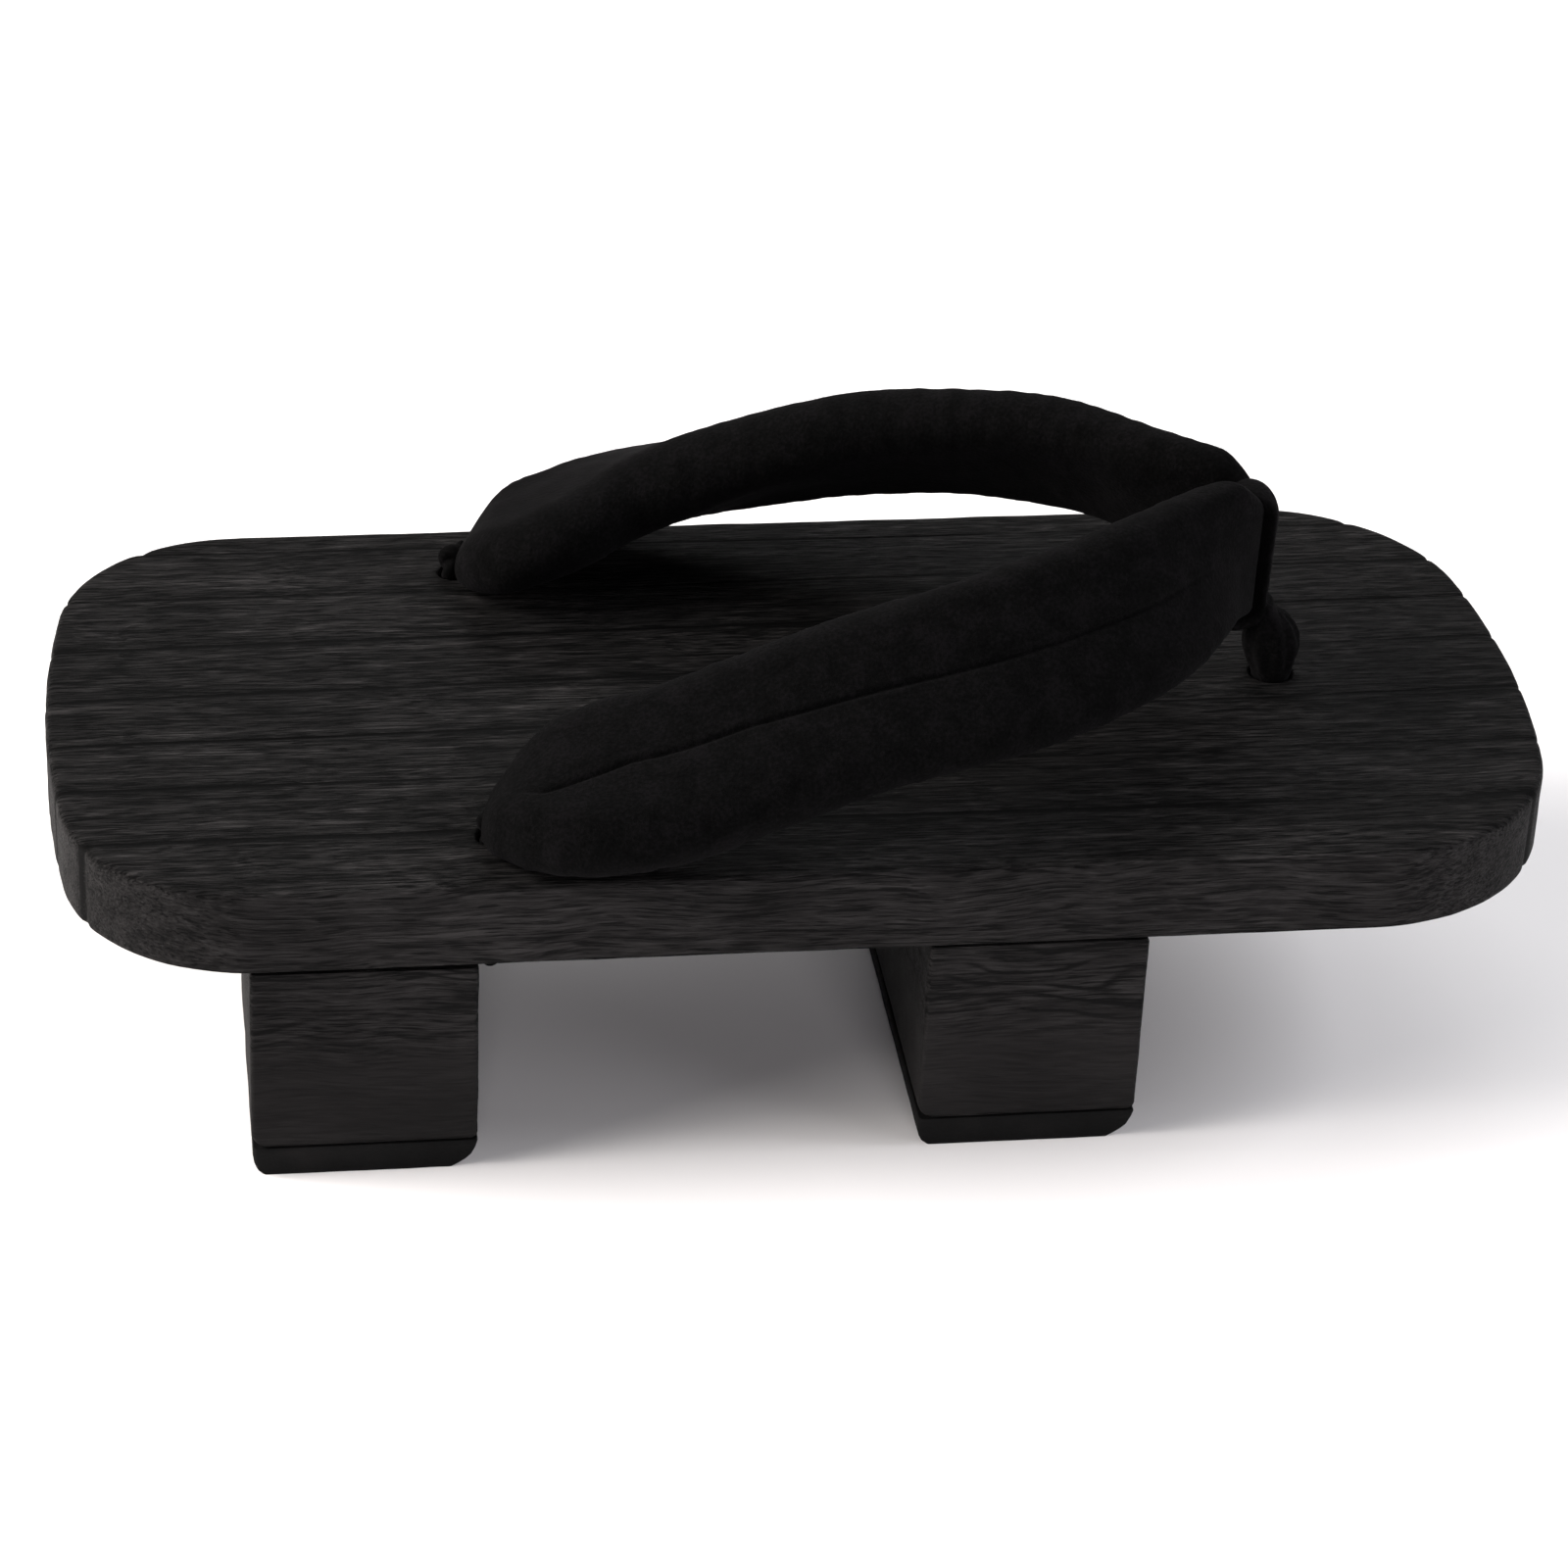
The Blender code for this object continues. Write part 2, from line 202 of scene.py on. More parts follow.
def board_lines(tree, place):
    """How near a point is to a growth ring that meets the top face: 1 on the line, 0 away."""
    numbers, heel, toe = ring_tables()
    split = add(tree, "ShaderNodeSeparateXYZ", [(0, place)])
    across = add(
        tree, "ShaderNodeMapRange", [(0, split.outputs[1]), (1, -FACE_HALF), (2, FACE_HALF)]
    )
    along = add(
        tree,
        "ShaderNodeMapRange",
        [(0, split.outputs[0]), (1, RIM_INSET - LENGTH / 2), (2, LENGTH / 2 - RIM_INSET)],
    )
    ends = []
    for table in (heel, toe):
        spots = [(y + FACE_HALF) / (2 * FACE_HALF) for y in table]
        stops = [(spot, number / RING_COUNT) for spot, number in zip(spots, numbers)]
        ends.append(add(tree, "ShaderNodeValToRGB", [(0, across)], stops))
    ring = add(tree, "ShaderNodeMix", [(0, along), (2, ends[0]), (3, ends[1])])
    counted = add(tree, "ShaderNodeMath", [(0, ring), (1, RING_COUNT)], operation="MULTIPLY")
    off = add(tree, "ShaderNodeMath", [(0, counted), (1, 0.5)], operation="PINGPONG")
    # A dark line 1 mm wide, a shade that falls off over 3 mm, and both fading along the board
    line = add(tree, "ShaderNodeMapRange", [(0, off), (1, 0.010), (2, 0.030), (3, 1.0), (4, 0.0)])
    shaded = add(tree, "ShaderNodeMapRange", [(0, off), (1, 0.0), (2, 0.16), (3, 1.0), (4, 0.0)])
    faded = add(tree, "ShaderNodeMapping", [(0, place), (3, (14, 60, 60))])
    fade = add(tree, "ShaderNodeTexNoise", [("Vector", faded), ("Scale", 1.0), ("Detail", 1.0)])
    strength = add(
        tree, "ShaderNodeMapRange", [(0, fade), (1, 0.38), (2, 0.58), (3, 0.35), (4, 1.0)]
    )
    return [
        add(tree, "ShaderNodeMath", [(0, part), (1, strength)], operation="MULTIPLY")
        for part in (line, shaded)
    ]


def tooth_lines(tree, place):
    """Wavy darker bands in the upper part of a tooth, about 3 mm apart and 40 mm long."""
    split = add(tree, "ShaderNodeSeparateXYZ", [(0, place)])
    long = add(tree, "ShaderNodeMapping", [(0, place), (3, (30, 30, 70))])
    wave = add(tree, "ShaderNodeTexNoise", [("Vector", long), ("Scale", 1.0), ("Detail", 1.5)])
    height = add(
        tree,
        "ShaderNodeMath",
        [(0, wave), (1, 0.014), (2, split.outputs[2])],
        operation="MULTIPLY_ADD",
    )
    counted = add(tree, "ShaderNodeMath", [(0, height), (1, 300.0)], operation="MULTIPLY")
    off = add(tree, "ShaderNodeMath", [(0, counted), (1, 0.5)], operation="PINGPONG")
    line = add(tree, "ShaderNodeMapRange", [(0, off), (1, 0.02), (2, 0.17), (3, 1.0), (4, 0.0)])
    upper = add(tree, "ShaderNodeMapRange", [(0, split.outputs[2]), (1, 0.024), (2, 0.031)])
    broken = add(tree, "ShaderNodeMapRange", [(0, wave), (1, 0.42), (2, 0.6), (3, 0.25), (4, 1.0)])
    kept = add(tree, "ShaderNodeMath", [(0, line), (1, upper)], operation="MULTIPLY")
    line = add(tree, "ShaderNodeMath", [(0, kept), (1, broken)], operation="MULTIPLY")
    shaded = add(tree, "ShaderNodeMath", [(0, line), (1, 0.5)], operation="MULTIPLY")
    return [line, shaded]


def stained_wood(name, lines, side_light_lift):
    """Paulownia, planed and brushed along the grain, then stained black and rubbed dull.

    Brushing takes out the soft wood, so the eye gets long pale fibres between dark pores 5 to 15 mm
    long, a darker line at each growth ring, speckled end grain, and no gloss but on worn edges.
    """
    material, tree, shader = new_material(name)
    coordinates = add(tree, "ShaderNodeTexCoord")
    place = coordinates.outputs["Object"]
    # The grain wanders by about a millimetre in each 30 mm of its length
    slow = add(tree, "ShaderNodeMapping", [(0, place), (3, (32, 55, 55))])
    wander = add(tree, "ShaderNodeTexNoise", [("Vector", slow), ("Scale", 1.0), ("Detail", 1.0)])
    bent = add(
        tree,
        "ShaderNodeVectorMath",
        [(0, wander.outputs[1]), (1, (0.0, 0.0020, 0.0050)), (2, place)],
        operation="MULTIPLY_ADD",
    )
    # Fibres 0.5 mm across and 8 mm long, in bundles 2.5 mm across and 35 mm long
    thin = add(tree, "ShaderNodeMapping", [(0, bent), (3, (125, 1900, 1900))])
    fibres = add(
        tree,
        "ShaderNodeTexNoise",
        [
            ("Vector", thin),
            ("Scale", 1.0),
            ("Detail", 3.0),
            ("Roughness", 0.62),
            ("Distortion", 0.2),
        ],
    )
    wide = add(tree, "ShaderNodeMapping", [(0, bent), (3, (28, 400, 400))])
    bundles = add(
        tree,
        "ShaderNodeTexNoise",
        [("Vector", wide), ("Scale", 1.0), ("Detail", 3.0), ("Roughness", 0.6)],
    )
    # Pores are 0.2 mm wide, drawn at 0.45 mm so that they show
    dash = add(tree, "ShaderNodeMapping", [(0, bent), (1, (0.7, 0.3, 0.2)), (3, (130, 2100, 2100))])
    pores = add(tree, "ShaderNodeTexNoise", [("Vector", dash), ("Scale", 1.0), ("Detail", 1.0)])
    pored = add(tree, "ShaderNodeMapRange", [(0, pores), (1, 0.57), (2, 0.65), (3, 0.0), (4, 0.42)])
    both = add(tree, "ShaderNodeMix", [(0, 0.38), (2, fibres), (3, bundles)])
    spread = add(tree, "ShaderNodeMapRange", [(0, both), (1, 0.35), (2, 0.64)])
    open_grain = add(tree, "ShaderNodeMath", [(0, spread), (1, pored)], operation="SUBTRACT")
    line, shaded = lines(tree, place)
    lower = add(
        tree,
        "ShaderNodeMath",
        [(0, shaded), (1, -0.16), (2, open_grain)],
        operation="MULTIPLY_ADD",
    )
    grain = add(
        tree,
        "ShaderNodeMath",
        [(0, line), (1, -0.75), (2, lower)],
        operation="MULTIPLY_ADD",
        use_clamp=True,
    )
    # The upright faces are planed and not brushed, so they are calmer, most in a tooth's lower half
    facing = add(tree, "ShaderNodeSeparateXYZ", [(0, coordinates.outputs["Normal"])])
    steep = add(tree, "ShaderNodeMath", [(0, facing.outputs[2])], operation="ABSOLUTE")
    upright = add(
        tree, "ShaderNodeMapRange", [(0, steep), (1, 0.25), (2, 0.75), (3, 1.0), (4, 0.0)]
    )
    height = add(tree, "ShaderNodeSeparateXYZ", [(0, place)]).outputs[2]
    planed = add(
        tree, "ShaderNodeMapRange", [(0, height), (1, 0.022), (2, 0.031), (3, 0.82), (4, 0.4)]
    )
    calm = add(tree, "ShaderNodeMath", [(0, planed), (1, upright)], operation="MULTIPLY")
    grain = add(tree, "ShaderNodeMix", [(0, calm), (2, grain), (3, 0.5)])
    colour = add(
        tree,
        "ShaderNodeValToRGB",
        [(0, grain)],
        (
            (0.0, "#020202"),
            (0.25, "#0a0a0a"),
            (0.5, "#181717"),
            (0.75, "#232222"),
            (1.0, "#333131"),
        ),
    )
    # The stain took unevenly, in patches about 45 mm across
    patch = add(tree, "ShaderNodeTexNoise", [("Vector", place), ("Scale", 22.0), ("Detail", 3.0)])
    shade = add(tree, "ShaderNodeValToRGB", [(0, patch)], ((0.32, "#bcbcbc"), (0.68, "#ffffff")))
    mottled = add(
        tree,
        "ShaderNodeMix",
        [(0, 1.0), (6, colour), (7, shade)],
        data_type="RGBA",
        blend_type="MULTIPLY",
    )
    # Painted light: the upright faces are made lighter in colour, standing in for the light that
    # falls on the sides
    painted_side_light = add(tree, "ShaderNodeMapRange", [(0, upright), (3, 1.0), (4, side_light_lift)])
    final = add(
        tree, "ShaderNodeVectorMath", [(0, mottled.outputs[2]), (3, painted_side_light)], operation="SCALE"
    )
    tree.links.new(final.outputs[0], shader.inputs["Base Color"])
    rough = add(tree, "ShaderNodeMapRange", [(0, grain), (3, 0.72), (4, 0.52)])
    tree.links.new(rough.outputs[0], shader.inputs["Roughness"])
    bump = add(tree, "ShaderNodeBump", [("Strength", 0.8), ("Distance", 0.0004), ("Height", grain)])
    tree.links.new(bump.outputs[0], shader.inputs["Normal"])
    shader.inputs["Specular IOR Level"].default_value = 0.05
    return material


def tread_rubber():
    """Sheet rubber, moulded and cut with a blade: dull black with a fine grit and a little dust."""
    material, tree, shader = new_material("tread_rubber_cut_sheet")
    place = add(tree, "ShaderNodeTexCoord").outputs["Object"]
    # Grit is 0.2 mm across, drawn at 0.9 mm so that it shows. Dust lies in patches of 11 mm
    grit = add(tree, "ShaderNodeTexNoise", [("Vector", place), ("Scale", 1100.0), ("Detail", 3.0)])
    dust = add(tree, "ShaderNodeTexNoise", [("Vector", place), ("Scale", 90.0), ("Detail", 5.0)])
    colour = add(
        tree,
        "ShaderNodeValToRGB",
        [(0, dust)],
        ((0.3, "#080808"), (0.55, "#0c0c0c"), (0.75, "#131212")),
    )
    tree.links.new(colour.outputs[0], shader.inputs["Base Color"])
    bump = add(tree, "ShaderNodeBump", [("Strength", 0.5), ("Distance", 0.0003), ("Height", grit)])
    tree.links.new(bump.outputs[0], shader.inputs["Normal"])
    shader.inputs["Roughness"].default_value = 0.78
    shader.inputs["Specular IOR Level"].default_value = 0.08
    return material


def strap_flannel():
    """Brushed cotton flannel, woven and raised: a deep black nap, mottled where it lies over."""
    material, tree, shader = new_material("strap_cotton_flannel_raised")
    place = add(tree, "ShaderNodeTexCoord").outputs["Object"]
    # Tufts are 0.3 mm apart, drawn at 0.7 mm so that they show. They lie over in patches of 5 mm
    nap = add(tree, "ShaderNodeTexNoise", [("Vector", place), ("Scale", 1500.0), ("Detail", 3.0)])
    lying = add(
        tree,
        "ShaderNodeTexNoise",
        [("Vector", place), ("Scale", 190.0), ("Detail", 4.0), ("Distortion", 0.6)],
    )
    mixed = add(tree, "ShaderNodeMix", [(0, 0.45), (2, nap), (3, lying)])
    colour = add(
        tree,
        "ShaderNodeValToRGB",
        [(0, mixed)],
        ((0.35, "#020202"), (0.5, "#050505"), (0.62, "#0a090a")),
    )
    tree.links.new(colour.outputs[0], shader.inputs["Base Color"])
    bump = add(tree, "ShaderNodeBump", [("Strength", 0.7), ("Distance", 0.0005), ("Height", mixed)])
    tree.links.new(bump.outputs[0], shader.inputs["Normal"])
    shader.inputs["Roughness"].default_value = 0.95
    shader.inputs["Specular IOR Level"].default_value = 0.03
    shader.inputs["Sheen Weight"].default_value = 0.012
    shader.inputs["Sheen Roughness"].default_value = 0.55
    shader.inputs["Sheen Tint"].default_value = hex_colour("#b8b4bc")
    return material


def piece(name, mesh, material, slot, *nodes, sharp=None):
    """Puts a finished mesh on the root body, in place of the CAD nodes it stands for."""
    data = bpy.data.meshes.new(name)
    bmesh.ops.recalc_face_normals(mesh, faces=mesh.faces)
    for face in mesh.faces:
        face.smooth = True
    mesh.to_mesh(data)
    mesh.free()
    if sharp:
        data.set_sharp_from_angle(angle=math.radians(sharp))
    data.materials.append(material)
    obj = bpy.data.objects.new(name, data)
    bpy.context.scene.collection.objects.link(obj)
    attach(obj, "root")
    if nodes:
        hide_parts(*nodes)
    return obj


def skin(mesh, loops, closed=False, caps=True):
    """Faces between rings of points, or of vertices, with the same count."""
    rings = []
    for loop in loops:
        made = isinstance(loop[0], bmesh.types.BMVert)
        rings.append(loop if made else [mesh.verts.new(point) for point in loop])
    pairs = list(zip(rings, rings[1:]))
    if closed:
        pairs.append((rings[-1], rings[0]))
    for lower, upper in pairs:
        for i in range(len(lower)):
            j = (i + 1) % len(lower)
            mesh.faces.new((lower[i], lower[j], upper[j], upper[i]))
    if caps and not closed:
        mesh.faces.new(list(reversed(rings[0])))
        mesh.faces.new(rings[-1])
    return rings


def end_arc(bulge):
    return (WIDTH * WIDTH / 4 + bulge * bulge) / (2 * bulge)


def board_corner(bulge, corner):
    radius = end_arc(bulge)
    across = WIDTH / 2 - corner
    along = LENGTH / 2 - radius + math.sqrt((radius - corner) ** 2 - across**2)
    return along, across


def half_width(x):
    bulge, corner = (TOE_BULGE, TOE_CORNER) if x > 0 else (HEEL_BULGE, HEEL_CORNER)
    along, across = board_corner(bulge, corner)
    past = max(abs(x) - along, 0.0)
    return across + math.sqrt(corner**2 - past**2)


def rim_point(y, bulge, corner):
    """Where the flat of the face stops at one end, for a line along the board, and the way out."""
    radius, (along, across) = end_arc(bulge), board_corner(bulge, corner)
    middle = LENGTH / 2 - radius
    turn = math.atan2(across, along - middle)
    if abs(y) <= (radius - RIM_INSET) * math.sin(turn):
        s = y / (radius - RIM_INSET)
        c = math.sqrt(1 - s * s)
        return middle + (radius - RIM_INSET) * c, c, s
    s = min((abs(y) - across) / (corner - RIM_INSET), 1.0)
    c = math.sqrt(1 - s * s)
    return along + (corner - RIM_INSET) * c, c, math.copysign(s, y)


def fibre_relief(x, across, up):
    """Brushed fibres 1 mm wide and 22 mm long, and worn hollows 4 by 50 mm, from -1 to 1."""
    fine = noise.noise(Vector((x * 45, across * 900, up * 900)))
    return 0.6 * fine + 0.6 * noise.noise(Vector((x * 20, across * 260, up * 260 + 5)))


def ring_rows():
    """Ring numbers for the lines of points along the board: close together at each ring line."""
    numbers, heel, toe = ring_tables()
    rows = []
    for k in range(len(numbers) - 1):
        width = (heel[k + 1] - heel[k] + toe[k + 1] - toe[k]) / 2 / MM
        first = EDGE_STEPS if k == 0 else LINE_STEPS
        last = EDGE_STEPS if k == len(numbers) - 2 else LINE_STEPS
        inner = width - first[-1] - last[-1]
        count = max(1, round(inner / ROW_STEP))
        spots = [0.0, *first] + [first[-1] + inner * i / count for i in range(1, count)]
        spots += [width - step for step in reversed(last)]
        rows += [numbers[k] + (numbers[k + 1] - numbers[k]) * spot / width for spot in spots]
    return rows + [numbers[-1]]


def ring_depth(x, number):
    """How far the soft line of a growth ring is brushed out, in millimetres."""
    line = round(number)
    off = abs(number - line) * RING_GAP
    strength = 0.62 + 0.75 * noise.noise(Vector((x * 16, line * 7.3, 1.0)))
    return GROOVE_DEPTH * math.exp(-((off / GROOVE_HALF) ** 2)) * min(max(strength, 0.2), 1.0)


def face_points():
    """The plan of the board's top: rows along the grain, with each point's ring number."""
    numbers, heel, toe = ring_tables()
    rows = np.array(ring_rows())
    across = np.linspace(-FACE_HALF, FACE_HALF, 1201)
    at_heel, at_toe = np.interp(across, heel, numbers), np.interp(across, toe, numbers)
    flat = LENGTH / 2 - RIM_INSET
    grid = []
    for number in rows:
        line = []
        for k in range(GRID_COLUMNS + 1):
            share = k / GRID_COLUMNS
            along = share
            for _ in range(4):
                y = np.interp(number, (1 - along) * at_heel + along * at_toe, across)
                start = -rim_point(y, HEEL_BULGE, HEEL_CORNER)[0]
                stop = rim_point(y, TOE_BULGE, TOE_CORNER)[0]
                x = start + share * (stop - start)
                along = (x + flat) / (2 * flat)
            line.append((float(x), float(y)))
        grid.append(line)
    return rows, grid


def face_height(x, y, number):
    """How the top face departs from flat, in metres: rings, fibres, slow wear and a small dent."""
    relief = -ring_depth(x, number) + FIBRE_DEPTH * fibre_relief(x, y, 0.0)
    relief += FACE_WEAR * noise.noise(Vector((x * 14, y * 14, 2.0))) - 0.08
    dent_x, dent_y, along, across = DENT
    off = ((x - dent_x) / along) ** 2 + ((y - dent_y) / across) ** 2
    return (relief - DENT_DEPTH * math.exp(-off)) * MM


def board_face(mesh, rows, grid, height, side):
    """One face of the board, top or underside. Returns its rim, in order round the board."""
    verts = []
    for number, line in zip(rows, grid):
        levels = [height + side * face_height(x, y, number) for x, y in line]
        verts.append([mesh.verts.new((x, y, z)) for (x, y), z in zip(line, levels)])
    for lower, upper in zip(verts, verts[1:]):
        for j in range(GRID_COLUMNS):
            mesh.faces.new((lower[j], lower[j + 1], upper[j + 1], upper[j]))
    rim = verts[0][:-1] + [line[-1] for line in verts[:-1]]
    rim += verts[-1][:0:-1] + [line[0] for line in verts[:0:-1]]
    return rim


def way_out(x, y):
    """The direction straight out of the board at a point of its rim."""
    if x > 0:
        stop, c, s = rim_point(y, TOE_BULGE, TOE_CORNER)
        return (c, s) if x > stop - 1e-7 else (0.0, math.copysign(1.0, y))
    stop, c, s = rim_point(y, HEEL_BULGE, HEEL_CORNER)
    return (-c, s) if -x > stop - 1e-7 else (0.0, math.copysign(1.0, y))


def notch_share(x, y):
    """How far a growth ring's soft line is worn in where it meets an end, as a share from 0 to 1.

    The notches fade out round the corners, from 115 to 95 mm off the board's middle.
    """
    deepest = 0.0
    for heel_y, toe_y in RING_LINES:
        line = heel_y if x < 0 else toe_y
        away = (y / MM - line) / NOTCH_HALF
        deepest = max(deepest, math.exp(-away * away))
    return deepest * held((abs(x) / MM - 95) / 20)


def cut_hole(mesh, x, y, radius):
    """Opens a hole through both faces, with softened edges and a wall between."""
    centre = Vector((x, y))
    reach = radius + 1.1 * MM
    gone = [f for f in mesh.faces if min((v.co.xy - centre).length for v in f.verts) < reach]
    bmesh.ops.delete(mesh, geom=gone, context="FACES")
    turns = [2 * math.pi * i / 36 for i in range(36)]
    heights = (
        (0.5, BOARD_BOTTOM),
        (0.15, BOARD_BOTTOM + 0.15 * MM),
        (0.0, BOARD_BOTTOM + 0.6 * MM),
        (0.0, BOARD_TOP - 0.8 * MM),
        (0.15, BOARD_TOP - 0.3 * MM),
        (0.5, BOARD_TOP - 0.08 * MM),
    )
    walls = []
    for out, z in heights:
        wide = radius + out * MM
        walls.append([(x + wide * math.cos(t), y + wide * math.sin(t), z) for t in turns])
    rings = skin(mesh, walls, caps=False)
    middle = (BOARD_TOP + BOARD_BOTTOM) / 2
    for ring, above in ((rings[0], False), (rings[-1], True)):
        edges = {mesh.edges.get((ring[i], ring[(i + 1) % len(ring)])) for i in range(len(ring))}
        for edge in mesh.edges:
            spot = edge.verts[0].co
            beside = (spot.xy - centre).length < 3 * reach
            if edge.is_boundary and beside and (spot.z > middle) == above:
                edges.add(edge)
        bmesh.ops.triangle_fill(mesh, use_beauty=True, use_dissolve=False, edges=list(edges))


def make_board(material):
    """The board: brushed faces, worn round edges, the rings' notches at both ends, three holes."""
    mesh = bmesh.new()
    rows, grid = face_points()
    top = board_face(mesh, rows, grid, BOARD_TOP, 1)
    bottom = board_face(mesh, rows, grid, BOARD_BOTTOM, -1)
    lows = [vertex.co.z - BOARD_TOP for vertex in top]
    places = [(vertex.co.x, vertex.co.y) for vertex in top]
    outs = [way_out(x, y) for x, y in places]
    loops = [bottom]
    for inset, height in BOARD_EDGE[1:-1]:
        loop = []
        for (x, y), (c, s), low in zip(places, outs, lows):
            soften = 1 + 0.30 * noise.noise(Vector((x * 90, y * 90, 7.0)))
            back = RIM_INSET - inset * MM * soften
            back -= FIBRE_DEPTH * MM * fibre_relief(x * (0.4 + abs(s)) / 1.4, y, height * MM)
            back -= EDGE_WEAR * MM * noise.noise(Vector((x * 200, y * 200, height * 0.15)))
            back -= notch_share(x, y) * NOTCH_DEPTH * MM
            follow = held((height - 15.0) / 1.5)
            loop.append((x + c * back, y + s * back, BOARD_BOTTOM + height * MM + low * follow))
        loops.append(loop)
    skin(mesh, loops + [top], caps=False)
    for x, y, radius in (HEEL_HOLE, (HEEL_HOLE[0], -HEEL_HOLE[1], HEEL_HOLE[2]), TOE_HOLE):
        cut_hole(mesh, x, y, radius)
    piece("board_brushed", mesh, material, "stained_wood", "board", sharp=42)


def block_loop(start, stop, inset, ease):
    """Plan of a tooth or tread, its ends along the board's sides: places and the ways out."""
    corners = []
    turns = ((stop, 1, -90), (stop, 1, 0), (start, -1, 90), (start, -1, 180))
    for corner_x, sign_x, first in turns:
        sign_y = -1 if first in (-90, 180) else 1
        middle_x = corner_x - sign_x * ease
        middle_y = sign_y * (half_width(middle_x) - inset - ease)
        for k in range(5):
            angle = math.radians(first + 90 * k / 4)
            c, s = math.cos(angle), math.sin(angle)
            corners.append((middle_x + ease * c, middle_y + ease * s, c, s))
    rows = []
    for (x0, y0, c0, s0), (x1, y1, c1, s1) in zip(corners, corners[1:] + corners[:1]):
        count = max(1, round(math.hypot(x1 - x0, y1 - y0) / (2.2 * MM)))
        for k in range(count):
            t = k / count
            place = (x0 + (x1 - x0) * t, y0 + (y1 - y0) * t)
            rows.append((*place, c0 + (c1 - c0) * t, s0 + (s1 - s0) * t))
    return rows


def make_block(name, node, slot, material, span, rows, seed, grainy=1.0, droop=0.0):
    """A tooth or tread, from its rows of (height, heel side, toe side, ends) cuts in millimetres.

    droop is how far the top of its toe side lies below that of its heel side, in millimetres.
    """
    table = np.array(rows)
    heights = []
    for low, high in zip(table[:-1, 0], table[1:, 0]):
        count = max(1, round((high - low) / ROW_STEP))
        heights += list(np.linspace(low, high, count, endpoint=False))
    heights.append(table[-1, 0])
    mesh = bmesh.new()
    loops = []
    plan = block_loop(span[0], span[1], 0.2 * MM, 0.9 * MM)
    for z in heights:
        heel_cut, toe_cut, end_cut = (np.interp(z, table[:, 0], table[:, k]) for k in (1, 2, 3))
        at_top = z >= table[-1, 0] - 1e-6
        loop = []
        for x, y, c, s in plan:
            share = (x - span[0]) / (span[1] - span[0])
            x_cut = heel_cut * (1 - share) - toe_cut * share
            wear = 0.12 * noise.noise(Vector((x * 140 + seed, y * 140, z * 0.14)))
            wear += grainy * 0.07 * fibre_relief(x + seed, y, z * MM)
            sunk = droop * share * MM if at_top else 0.0
            loop.append((
                x + (x_cut + c * wear) * MM,
                y + (s * wear - math.copysign(end_cut, y)) * MM,
                z * MM - sunk,
            ))
        loops.append(loop)
    skin(mesh, loops)
    piece(name, mesh, material, slot, node, sharp=40)


# The strap's rows: along from hole to nose, out and free as shares. They follow the part's source,
# but the nose is a little fuller and each side lies in its own way, as in the photo.
FAR_ROWS = (
    # along, out, free, broad, thick, tilt
    (0.012, 1.004, 0.00, 0.26, 0.34, 0),
    (0.024, 0.985, 0.00, 0.55, 0.60, 2),
    (0.043, 0.958, 0.00, 0.81, 0.80, 5),
    (0.071, 0.930, 0.00, 0.99, 0.91, 9),
    (0.103, 0.932, 0.00, 1.06, 0.96, 14),
    (0.140, 0.962, 0.01, 1.07, 0.99, 18),
    (0.198, 1.032, 0.07, 1.05, 1.04, 23),
    (0.315, 1.037, 0.29, 1.03, 1.06, 30),
    (0.442, 0.984, 0.56, 1.01, 1.00, 39),
    (0.633, 0.876, 0.80, 1.00, 0.86, 47),
    (0.827, 0.586, 0.96, 0.92, 0.74, 55),
    (0.907, 0.342, 0.99, 0.83, 0.66, 66),
)
NEAR_ROWS = (
    # along, out, free, broad, thick, tilt
    (-0.012, 1.010, 0.00, 0.20, 0.30, 0),
    (-0.002, 1.016, 0.00, 0.40, 0.52, 2),
    (0.016, 1.030, 0.00, 0.62, 0.72, 5),
    (0.044, 1.045, 0.00, 0.83, 0.86, 9),
    (0.077, 1.058, 0.00, 0.97, 0.94, 13),
    (0.119, 1.072, 0.01, 1.04, 0.98, 16),
    (0.198, 1.076, 0.08, 1.04, 1.00, 21),
    (0.315, 1.037, 0.31, 0.99, 0.94, 30),
    (0.442, 0.984, 0.58, 0.96, 0.85, 39),
    (0.633, 0.876, 0.81, 0.97, 0.73, 47),
    (0.827, 0.586, 0.96, 0.91, 0.71, 55),
    (0.907, 0.342, 0.99, 0.83, 0.66, 66),
)
NOSE_ROWS = (
    # along, out, free, broad, thick, tilt
    (0.948, 0.212, 0.97, 0.80, 0.56, 77),
    (0.978, 0.126, 0.89, 0.80, 0.46, 85),
    (0.993, 0.068, 0.78, 0.76, 0.40, 90),
    (1.000, 0.000, 0.72, 0.71, 0.36, 92),
)
STRAP_BROAD = 35.0 * MM
STRAP_THICK = 15.4 * MM
STRAP_FREE_HEIGHT = 17.8 * MM
NOSE_X = 84.7 * MM
# The band rests this far above the board
BAND_LIFT = 0.3 * MM
# Stations along the band over which its turning is evened out by the far hole
TURN_WINDOW = 25

# In millimetres: how deep and how wide to each side the seam's stitching and its valley are, and
# how far slack swells the band and puckers it, on the whole and at its edges
STITCHING = (0.85, 0.55)
VALLEY = (0.6, 3.4)
SWELL = 0.45
PUCKER = 0.14
EDGE_PUCKER = 0.30

# Points round the band's section: at each round edge, over the padded face, over the lining
EDGE_POINTS = 14
FACE_POINTS = 40
LINING_POINTS = 16

# Where the seam runs: how far along from the hole, as a share, and millimetres from the band's
# middle towards its outer edge
SEAM_LINE = ((0.05, 6.0), (0.07, 5.6), (0.105, 3.8), (0.165, 0.6), (0.29, -0.6), (0.42, 0.0))


